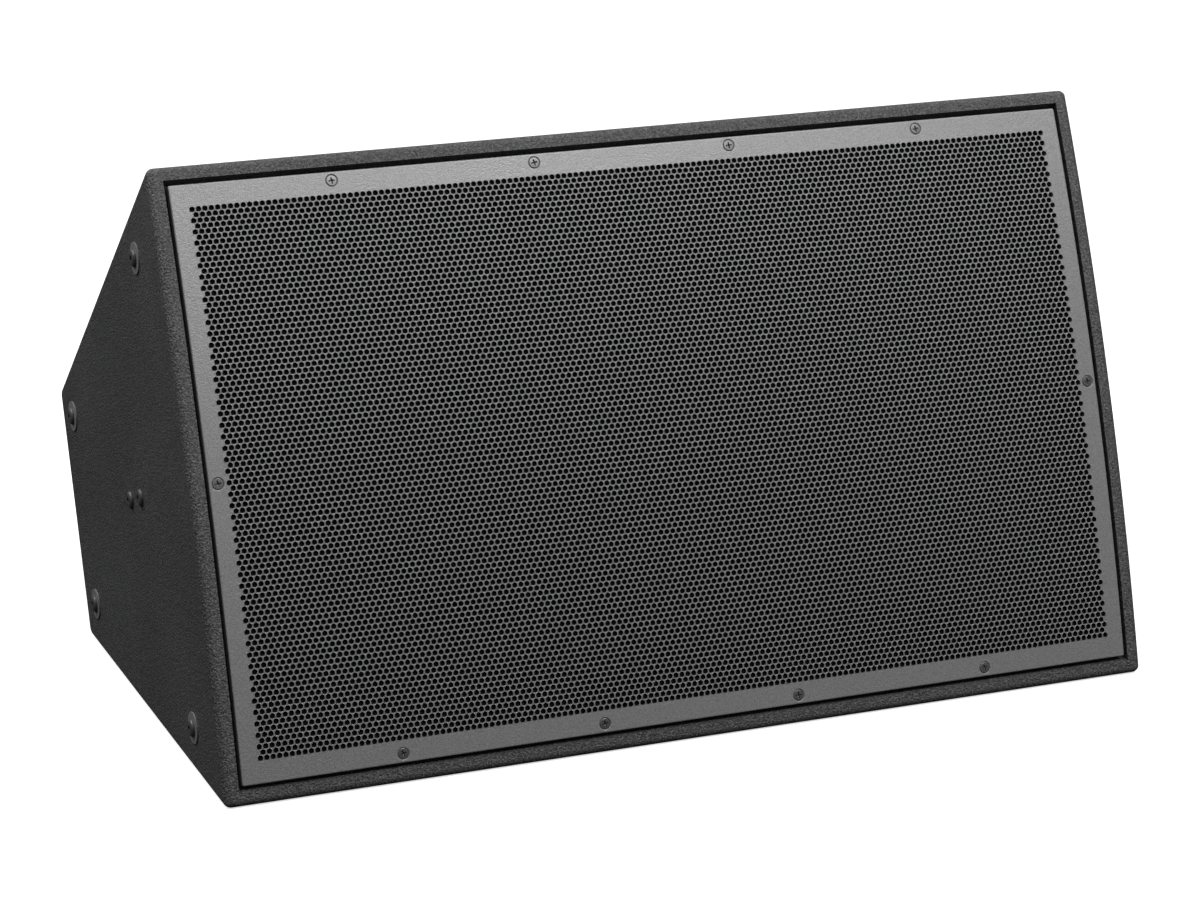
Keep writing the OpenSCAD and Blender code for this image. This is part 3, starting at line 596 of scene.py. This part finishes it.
def grille_edge():
    """The plain border of the sheet with its screw seats and its edges folded back."""
    half_x, half_s = GRILLE_W / 2 - BEND_R, GRILLE_S - BEND_R
    flat, ways = outline_loop(half_x, half_s, FLAT_CORNER_R)
    inner, _ = outline_loop(half_x - FLAT_RING[0], half_s - FLAT_RING[0], FLAT_RING[1])
    lattice_s = row_edge(np.arange(ROWS + 1))
    seats = screw_places()
    around = circle(SEAT_SIDES)
    loops = [flat, inner]
    for x, s in seats:
        for r in (SEAT_R, SEAT_R + SEAT_RING):
            loops.append([(x + r * math.cos(t), s + r * math.sin(t)) for t in around])
    loops.append([*((x, FIELD_S) for x in LATTICE_X[::-1]),
                  *((-FIELD_X, s) for s in lattice_s[::-1][1:-1]),
                  *((x, -FIELD_S) for x in LATTICE_X),
                  *((FIELD_X, s) for s in lattice_s[1:-1])])
    spots, tris = triangulate(*outlines(loops), 0, 1e-4)

    def wanted(tri):
        c = spots[list(tri)].mean(0)
        if abs(c[0]) < FIELD_X and abs(c[1]) < FIELD_S:
            return False
        return all(math.hypot(c[0] - x, c[1] - s) > SEAT_R * 0.998 for x, s in seats)

    tris = [tuple(t) for t in tris if wanted(t)]
    parts = [(on_bow(*spots.T, 0), tris), (on_bow(*spots.T, -SHEET_T), [t[::-1] for t in tris])]
    fold = [(BEND_R * math.sin(t), -BEND_R * (1 - math.cos(t)))
            for t in np.radians([0, 15, 30, 45, 60, 75, 90])]
    fold += [(BEND_R, -1.8), (BEND_R, -LIP_D + LIP_BREAK), (BEND_R - LIP_BREAK, -LIP_D),
             (BEND_R - SHEET_T + LIP_BREAK, -LIP_D), (BEND_R - SHEET_T, -LIP_D + LIP_BREAK),
             (BEND_R - SHEET_T, -SHEET_T)]
    rings = [on_bow(*(flat + ways * o).T, d) for o, d in fold]
    parts.append(loft(rings, flip=True))
    for x, s in seats:
        rings = [on_bow(x + r * np.cos(around), s + r * np.sin(around), d) for r, d in SEAT]
        parts.append(loft(rings))
    edge = piece("grille_edge", *join(parts), "grille_paint")
    weld(edge, 32, outward=False)
    return edge


def smoothstep(a, b, v):
    """0 below a, 1 above b and a soft step between."""
    t = np.clip((v - a) / (b - a), 0, 1)
    return t * t * (3 - 2 * t)


HEAD_R = 4.28
HEAD_RISE = 0.08  # its crown
HEAD_SINK = 0.06  # its zero lies so far under the sheet's face
HEAD_SIDES = 96
HEAD_STEPS = 34
CROSS_ARM = 2.5
CROSS_HALF = 0.55  # half the width of an arm
CROSS_DEPTH = 1.9
HEAD_TURNS = (0.1, 0.2, 0.06, 0.15, 0.35, 0.2, 0.05, 0.3, 0.15, 0.1)


def cross_head(turn):
    """A countersunk head with a cross recess, z up, as (points, faces)."""
    radius, arm, half, depth, sides = HEAD_R, CROSS_ARM, CROSS_HALF, CROSS_DEPTH, HEAD_SIDES
    r = radius * np.linspace(0, 1, HEAD_STEPS)[1:]
    a = circle(sides)
    x = np.concatenate(([0.0], (r[:, None] * np.cos(a)).ravel()))
    y = np.concatenate(([0.0], (r[:, None] * np.sin(a)).ravel()))
    u = x * math.cos(turn) + y * math.sin(turn)
    v = -x * math.sin(turn) + y * math.cos(turn)
    dist = np.hypot(x, y)
    z = HEAD_RISE * (1 - (dist / radius) ** 2) - 0.22 * smoothstep(radius - 0.35, radius, dist)
    cut = np.zeros_like(z)
    for along, side in ((u, v), (v, u)):  # tapered arms
        slope = depth * (1 - 0.45 * np.abs(along) / arm)
        wall = 1 - smoothstep(half - 0.09, half + 0.07, np.abs(side) + 0.05 * np.abs(along))
        end = 1 - smoothstep(arm - 0.18, arm + 0.06, np.abs(along))
        cut = np.maximum(cut, slope * wall * end)
    cut = np.maximum(cut, (depth + 0.2) * (1 - smoothstep(0.55, 1.15, dist)))  # the middle
    points = np.column_stack((x, y, z - cut))
    faces = [(0, 1 + k, 1 + (k + 1) % sides) for k in range(sides)]
    for i in range(len(r) - 1):
        p = 1 + i * sides
        faces += [(p + k, p + sides + k, p + sides + (k + 1) % sides, p + (k + 1) % sides)
                  for k in range(sides)]
    below = [(radius, z[-1]), (radius * 0.985, z[-1] - 0.12), (radius * 0.52, -2.2),
             (radius * 0.5, -6.0), (0.4, -6.0)]  # the cone and the start of the shank
    rings = [np.column_stack((q * np.cos(a), q * np.sin(a), np.full(sides, h)))
             for q, h in below]
    return join([(points, faces), loft(rings, flip=True)])


def grille_screws():
    """The ten screw heads, each square to the bow at its place."""
    parts = []
    for (x, s), turn in zip(screw_places(), HEAD_TURNS):
        points, faces = cross_head(turn)
        out = Vector((0, math.sin(s / FRONT_R), math.cos(s / FRONT_R))).normalized()
        across = Vector((1, 0, 0))
        turned = points @ np.array((across, out.cross(across), out))
        parts.append((turned + on_bow(x, s, -HEAD_SINK)[0], faces))
    return piece("grille_screw_heads", *join(parts), "black_screws", smooth=38)


def make_grille():
    for part in (*(field_band(k) for k in range(BANDS)), grille_edge()):
        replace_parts(part, "grille")
    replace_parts(grille_screws(), "grille_screws")


FOAM_X = 360.5  # half its width
FOAM_S = 212.0  # half its height
FOAM_T = 5.6
FOAM_GAP = 0.2  # to the sheet, at its nearest
FOAM_WAVE = 0.12
FOAM_GRID = 90, 54


def foam_sheet():
    """Open-cell foam behind the sheet, with a slightly uneven face."""
    nx, ns = FOAM_GRID
    gx, gs = np.meshgrid(np.linspace(-FOAM_X, FOAM_X, nx), np.linspace(-FOAM_S, FOAM_S, ns))
    wave = FOAM_WAVE * (np.sin(gx / 17.0) * np.sin(gs / 13.0 + 1.0) - 1)
    top = on_bow(gx.ravel(), gs.ravel(), (-SHEET_T - FOAM_GAP + wave).ravel())
    back = on_bow(gx.ravel(), gs.ravel(), np.full(gx.size, -SHEET_T - FOAM_T))
    count = nx * ns
    grid = np.arange(count).reshape(ns, nx)
    quads = np.column_stack((grid[:-1, :-1].ravel(), grid[:-1, 1:].ravel(),
                             grid[1:, 1:].ravel(), grid[1:, :-1].ravel()))
    rim = np.concatenate((grid[0, :-1], grid[:-1, -1], grid[-1, :0:-1], grid[:0:-1, 0]))
    nxt = np.roll(rim, -1)
    walls = np.column_stack((nxt, rim, rim + count, nxt + count))
    faces = np.concatenate((quads, quads[:, ::-1] + count, walls))
    obj = piece("foam_sheet", np.concatenate((top, back)), faces.tolist(), "foam_black")
    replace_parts(obj, "grille_foam")


# ---- Side panels with their corners rounded as by a ball ----

BOW_STEPS = 41
ROUND_STEPS = 11
BOLT_HOLE_R = 5.6
BOLT_HOLE_SIDES = 32
FACE_RING = 1.5  # a ring of points so far inside the flat of the outer face


def profile_ring(inset):
    """The cabinet's side outline with every edge moved in by inset, as (y, z). A rounding
    smaller than the inset shrinks to a point and then goes in along the corner's middle."""
    slope = np.array((math.cos(SLANT), -math.sin(SLANT)))
    rim_turn = SLANT + math.asin(
        (np.dot((FRONT_H / 2, -FRONT_SAG), slope) - RIM_R - FRONT_R * math.sin(SLANT))
        / (FRONT_R - RIM_R))
    front = np.array((math.sin(rim_turn), math.cos(rim_turn)))
    rear = np.array((0.0, -1.0))
    front_middle = (FRONT_R - RIM_R) * front - (0, FRONT_R)
    rear_corner = np.array((outer_up(-CABINET_D), -CABINET_D))
    rear_middle = rear_corner - EDGE_R * (slope + rear) / (1 + slope @ rear)
    half = [((FRONT_R - inset) * math.sin(t), (FRONT_R - inset) * math.cos(t) - FRONT_R)
            for t in np.linspace(0, rim_turn, BOW_STEPS)[:-1]]
    for middle, a, b, r in ((front_middle, front, slope, RIM_R),
                            (rear_middle, slope, rear, EDGE_R)):
        wide = math.acos(a @ b)
        for t in np.linspace(0, 1, ROUND_STEPS):
            way = (math.sin((1 - t) * wide) * a + math.sin(t * wide) * b) / math.sin(wide)
            if inset <= r:
                half.append(tuple(middle + (r - inset) * way))
            else:
                half.append(tuple(middle - (inset - r) * (a + b) / (1 + a @ b)))
    other = [(-y, z) for y, z in half[:0:-1]]
    return np.array(half + other)


def side_panels():
    """Each side panel with its bolt holes, its outside edges rounded to SIDE_R."""
    outer = INNER_X + PLY
    around = circle(BOLT_HOLE_SIDES)
    holes = [np.column_stack((y + BOLT_HOLE_R * np.cos(around), z + BOLT_HOLE_R * np.sin(around)))
             for y, z in BOLT_POINTS]
    section = [(INNER_X, 0.0)]
    section += [(outer - SIDE_R * (1 - math.sin(t)), SIDE_R * (1 - math.cos(t)))
                for t in np.radians(np.linspace(0, 90, ROUND_STEPS))]
    section.append((outer, SIDE_R + FACE_RING))
    for name, node, sign in (("side_shell_left", "side_panel_left", -1),
                             ("side_shell_right", "side_panel_right", 1)):
        def at(x, ring):
            return np.column_stack((np.full(len(ring), sign * x), ring))

        rings = [at(x, profile_ring(inset)) for x, inset in section]
        parts = [loft(rings)]
        for ring in (rings[0], rings[-1]):
            outline = ring[np.abs(ring - np.roll(ring, 1, axis=0)).max(1) > 1e-6][:, 1:]
            flat, tris = triangulate(*outlines((outline, *holes)), 1, 1e-4)
            tris = [t for t in tris
                    if all(np.hypot(*(flat[list(t)].mean(0) - spot)) > BOLT_HOLE_R * 0.99
                           for spot in BOLT_POINTS)]
            parts.append((at(abs(ring[0][0]), flat), tris))
        parts += [loft([at(INNER_X, hole), at(outer, hole)]) for hole in holes]
        obj = piece(name, *join(parts), "cabinet_paint")
        weld(obj, 35)
        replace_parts(obj, node)


# ---- Wadding on the inside of the panels ----

WAD_STEP = 8.0  # between the points of its surface
WAD_SOFT = 11.0  # its edges are rounded off over this width
WAD_EDGE = 3.5  # thickness at its edges
WAD_LIFT = 0.4  # off the panel
WAD_HOLE_R = 15.0
WAD_HOLE_SIDES = 20


def inner_up(z):
    """Half the height inside, square to the front's axis, at depth z."""
    return outer_up(z) - PLY / math.cos(SLANT)


def wadding_slab(outline, holes, place, seed):
    """A lumpy slab over a flat outline (u, v), thin at its edges and round its holes.
    place(u, v, h) gives the front frame's points at height h off the panel."""
    step = WAD_STEP
    loops = [np.asarray(outline, float)]
    around = circle(WAD_HOLE_SIDES)
    loops += [np.column_stack((u + WAD_HOLE_R * np.cos(around), v + WAD_HOLE_R * np.sin(around)))
              for u, v in holes]
    dense = []
    for loop in loops:
        run = []
        for a, b in zip(loop, np.roll(loop, -1, axis=0)):
            n = max(1, int(np.hypot(*(b - a)) / step))
            run += [tuple(a + (b - a) * k / n) for k in range(n)]
        dense.append(run)
    points, edges = outlines(dense)
    rims = np.array(points)
    low, high = rims.min(0), rims.max(0)
    ends, starts = rims[[b for _, b in edges]], rims[[a for a, _ in edges]]
    spans = ends - starts
    long2 = (spans**2).sum(1)

    def edge_gap(q):
        """How far q is from the nearest edge."""
        t = np.clip(((q - starts) * spans).sum(1) / long2, 0, 1)
        return np.hypot(*(starts + spans * t[:, None] - q).T).min()

    def inside(q):
        """Whether q is in the outline and in none of its holes, by crossings of a ray."""
        (x0, y0), (x1, y1) = np.asarray(starts).T, np.asarray(ends).T
        over = (y0 > q[1]) != (y1 > q[1])
        cut = x0 + (q[1] - y0) * (x1 - x0) / np.where(y1 == y0, 1e-9, y1 - y0)
        return (over & (cut > q[0])).sum() % 2 == 1

    for i, u in enumerate(np.arange(low[0] + step, high[0], step)):
        for v in np.arange(low[1] + step * (0.5 + 0.5 * (i % 2)), high[1], step):
            q = np.array((u, v))
            if inside(q) and edge_gap(q) > 2.2:
                points.append((u, v))
    for offset in (0.8, 3.0):  # close rows along every edge round it off
        for run in dense:
            ring = np.array(run)
            way = np.roll(ring, -1, axis=0) - np.roll(ring, 1, axis=0)
            way /= np.maximum(np.hypot(*way.T), 1e-9)[:, None]
            for side in (1, -1):
                for q in ring + side * offset * np.column_stack((-way[:, 1], way[:, 0])):
                    if inside(q) and edge_gap(q) > offset * 0.9:
                        points.append(tuple(q))
    flat, tris = triangulate(points, edges, 0, 1e-3)
    tris = np.array([t for t in tris if inside(flat[list(t)].mean(0))])
    gaps = np.array([edge_gap(q) for q in flat])
    crown = np.sqrt(1 - (1 - np.clip(gaps / WAD_SOFT, 0, 1)) ** 2)
    u, v = flat.T
    lumps = (np.sin(u / 23 + seed) * np.sin(v / 19 + 2 * seed) + 0.6 * np.sin(u / 9.5 + v / 12)
             + 0.4 * np.sin(v / 6.1 - u / 7.7 + seed))
    height = WAD_EDGE + (LINING_T - WAD_EDGE) * crown * (0.9 + 0.045 * lumps)
    height = np.minimum(height, LINING_T - 0.3)
    count = len(flat)
    rim, uses = {}, {}
    for t in tris:
        for a, b in zip(t, np.roll(t, -1)):
            key = (min(a, b), max(a, b))
            rim[key] = (a, b)
            uses[key] = uses.get(key, 0) + 1
    walls = [(b, a, a + count, b + count) for key, (a, b) in rim.items() if uses[key] == 1]
    faces = [tuple(t) for t in tris] + [tuple(t[::-1] + count) for t in tris] + walls
    return np.concatenate((place(u, v, height), place(u, v, np.full(count, WAD_LIFT)))), faces


STRIP_FRONTS = -85, -150  # of the upper and lower wadding, left and right of the brace
SIDE_FRONT = -90
# from the wadding to the rear panel, the side panels, the brace and the other wadding
BACK_GAP, SIDE_GAP, BRACE_GAP, LINING_GAP = 3, 4, 3, 2


def linings():
    """The padding of the upper, lower and side panels, in the space of the CAD solids."""
    def padding(name, parts, node):
        obj = piece(name, *join(parts), "wadding")
        weld(obj, 60)
        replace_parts(obj, node)

    def on_slope(sign):
        def place(x, z, h):
            y = outer_up(z) - (PLY + h) / math.cos(SLANT)
            return np.column_stack((x, sign * y, z))
        return place

    def on_side(sign):
        def place(y, z, h):
            return np.column_stack((sign * (INNER_X - h), y, z))
        return place

    back = INNER_BACK + BACK_GAP
    strips = ((SIDE_GAP - INNER_X, BRACE_X[0] - BRACE_GAP, STRIP_FRONTS[0]),
              (BRACE_X[1] + BRACE_GAP, INNER_X - SIDE_GAP, STRIP_FRONTS[1]))
    for name, node, sign in (("wadding_upper", "lining_upper", 1),
                             ("wadding_lower", "lining_lower", -1)):
        padding(name, [wadding_slab([(x0, front), (x0, back), (x1, back), (x1, front)], (),
                                    on_slope(sign), seed=k + sign)
                       for k, (x0, x1, front) in enumerate(strips)], node)
    gap = (LINING_T + LINING_GAP) / math.cos(SLANT)
    near, far = inner_up(SIDE_FRONT) - gap, inner_up(back) - gap
    outline = [(near, SIDE_FRONT), (far, back), (-far, back), (-near, SIDE_FRONT)]
    holes = [(y, z) for y, z in BOLT_POINTS if abs(y) < inner_up(z) - gap - WAD_HOLE_R - 1]
    padding("wadding_sides", [wadding_slab(outline, holes, on_side(sign), seed=3.0 + sign)
                              for sign in (1, -1)], "lining_side")


# ---- Flexing rings of the drivers, in sectors ----

SECTOR_STEPS = 6


def flexing_ring(name, node, slot, centre, profile, sectors, outer_r, inner_r):
    """A turned ring cut into sectors, each a piece of its own. outer_r, the radius at the
    cabinet, and inner_r, the radius at the moving body, are not used. centre is its (x, z) and
    profile goes round its section as (radius, z)."""
    def turned(r, t, z=0.0):
        return centre[0] + r * math.cos(t), r * math.sin(t), centre[1] + z

    n = len(profile)
    for k in range(sectors):
        first = 2 * math.pi * k / sectors
        rings = [[turned(r, t, z) for r, z in profile] for t in
                 first + np.arange(SECTOR_STEPS + 1) * 2 * math.pi / sectors / SECTOR_STEPS]
        points, faces = loft(rings)
        faces += [tuple(range(n))[::-1],
                  tuple(range(SECTOR_STEPS * n, (SECTOR_STEPS + 1) * n))]
        obj = piece(f"{name}_{k + 1}", points, faces, slot, ride=False)
        weld(obj, 40)
        middle = first + math.pi / sectors
        start, end = (to_row(turned(r, middle))[0] for r in (outer_r, inner_r))
        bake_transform(obj)
        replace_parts(obj, node)


ROLL_R, ROLL_MIDDLE = 9.0, 159  # the surround's half roll and the radius that it stands on
SURROUND_Z = 4, 5.2  # its flat rims' faces
SURROUND_RIMS = 143, 175.8
SPIDER_Z = -72, -71.2
SPIDER_RIMS = 38.7, 93
WAVE_R = 46, 82.1  # the spider's waves
WAVE_H, WAVE_TURN = 2.2, 40  # height, and degrees for each mm of radius
SUSPENSION = ((37.8, -42.2), (39, -42.2), (39.8, -43.1), (40.5, -43.4), (41.2, -43.1),
              (42, -42.2), (44.8, -42.2), (44.8, -42.6), (42.2, -42.6), (41.3, -43.6),
              (40.5, -43.9), (39.7, -43.6), (38.8, -42.6), (37.8, -42.6))


def flexing_rings():
    """The woofer's surround and spider and the driver's suspension."""
    low, high = SURROUND_Z
    arc = [(ROLL_MIDDLE + ROLL_R * math.cos(t), high + ROLL_R * math.sin(t))
           for t in np.radians(np.arange(0, 181, 12))]
    under = [(ROLL_MIDDLE + (ROLL_R - 1.2) * math.cos(t), low + (ROLL_R - 0.4) * math.sin(t))
             for t in np.radians(np.arange(180, -1, -12))]
    inner, outer = SURROUND_RIMS
    profile = [(outer, low), (outer, high), *arc, (inner, high), (inner, low), *under]
    flexing_ring("surround_sector", "woofer_surround", "surround_cloth",
                 (WOOFER_X, BAFFLE_Z), profile, 16, 168.0, 150.0)
    low, high = SPIDER_Z
    inner, outer = SPIDER_RIMS
    wave = [(r, high + WAVE_H * math.sin(math.radians((r - WAVE_R[0]) * WAVE_TURN)))
            for r in np.arange(*WAVE_R, 1)]
    profile = [(inner, high), *wave, (outer, high), (outer, low),
               *((r, z - (high - low)) for r, z in wave[::-1]), (inner, low)]
    flexing_ring("spider_sector", "woofer_spider", "spider_cloth",
                 (WOOFER_X, BAFFLE_Z), profile, 12, 84.0, 46.0)
    flexing_ring("suspension_sector", "driver_suspension", "suspension_film",
                 (HORN_X, DRIVER_Z), SUSPENSION, 12, 43.0, 39.2)


# ---- Camera, floor and light ----

CAMERA_PLACE = (-1.0755, -2.6923, 1.0848)
CAMERA_RIGHT = (0.92813, -0.37226, 0.00179)
CAMERA_UP = (0.11070, 0.28058, 0.95342)
CAMERA_BACK = (-0.35542, -0.88470, 0.30162)
CAMERA_LENS = 110.07  # mm, on a sensor 36 mm wide


def make_camera():
    """The photo's view of the cabinet."""
    camera = bpy.data.cameras.new("camera")
    camera.sensor_fit = "HORIZONTAL"
    camera.sensor_width = 36.0
    camera.lens = CAMERA_LENS
    camera.clip_end = 60.0
    obj = bpy.data.objects.new("camera", camera)
    turn = Matrix((CAMERA_RIGHT, CAMERA_UP, CAMERA_BACK)).transposed().to_4x4()
    obj.matrix_world = Matrix.Translation(CAMERA_PLACE) @ turn
    bpy.context.scene.collection.objects.link(obj)
    bpy.context.scene.camera = obj


FLOOR_HALF = 30.0
FLOOR_Z = -0.0005


def make_floor():
    """A white floor for the render only, unseen in reflections and in bounced light."""
    mesh = bpy.data.meshes.new("floor")
    corners = [(x * FLOOR_HALF, y * FLOOR_HALF, FLOOR_Z)
               for x, y in ((-1, -1), (1, -1), (1, 1), (-1, 1))]
    mesh.from_pydata(corners, [], [(0, 1, 2, 3)])
    obj = bpy.data.objects.new("floor", mesh)
    bpy.context.scene.collection.objects.link(obj)
    material = bpy.data.materials.new("floor_paper")
    material.use_nodes = True
    shader = material.node_tree.nodes["Principled BSDF"]
    shader.inputs["Base Color"].default_value = (0.5, 0.5, 0.5, 1)
    shader.inputs["Roughness"].default_value = 0.9
    shader.inputs["Specular IOR Level"].default_value = 0.1
    shader.inputs["Emission Color"].default_value = (1, 1, 1, 1)
    shader.inputs["Emission Strength"].default_value = 0.66
    mesh.materials.append(material)
    obj.visible_diffuse = False
    obj.visible_glossy = False


def softbox(name, place, target, size, power):
    """A rectangular light at place, turned to target; power is in watts."""
    light = bpy.data.lights.new(name, "AREA")
    light.shape = "RECTANGLE"
    light.size, light.size_y = size
    light.energy = power
    obj = bpy.data.objects.new(name, light)
    way = Vector(target) - Vector(place)
    obj.rotation_euler = way.to_track_quat("-Z", "Y").to_euler()
    obj.location = place
    bpy.context.scene.collection.objects.link(obj)


def make_light():
    """A white world that is brighter above, with two softboxes."""
    world = bpy.data.worlds.new("studio")
    bpy.context.scene.world = world
    world.use_nodes = True
    tree = world.node_tree
    background = tree.nodes["Background"]
    way = tree.nodes.new("ShaderNodeTexCoord")
    parts = tree.nodes.new("ShaderNodeSeparateXYZ")
    ramp = tree.nodes.new("ShaderNodeMapRange")
    for name, value in (("From Min", 0.0), ("From Max", 0.85), ("To Min", 0.03),
                        ("To Max", 0.9)):
        ramp.inputs[name].default_value = value
    tree.links.new(way.outputs["Generated"], parts.inputs[0])
    tree.links.new(parts.outputs["Z"], ramp.inputs["Value"])
    tree.links.new(ramp.outputs["Result"], background.inputs["Strength"])
    background.inputs["Color"].default_value = (1, 1, 1, 1)
    softbox("key", (0.95, -2.1, 2.98), (0.05, 0, 0.45), (1.9, 0.9), 126)
    softbox("rear_left", (-1.8, 0.9, 2.4), (-0.2, 0, 0.25), (2.0, 1.6), 70)
    view = bpy.context.scene.view_settings
    view.view_transform = "Standard"
    view.look = "None"


make_materials()
make_grille()
foam_sheet()
side_panels()
linings()
flexing_rings()
make_floor()
make_light()
make_camera()
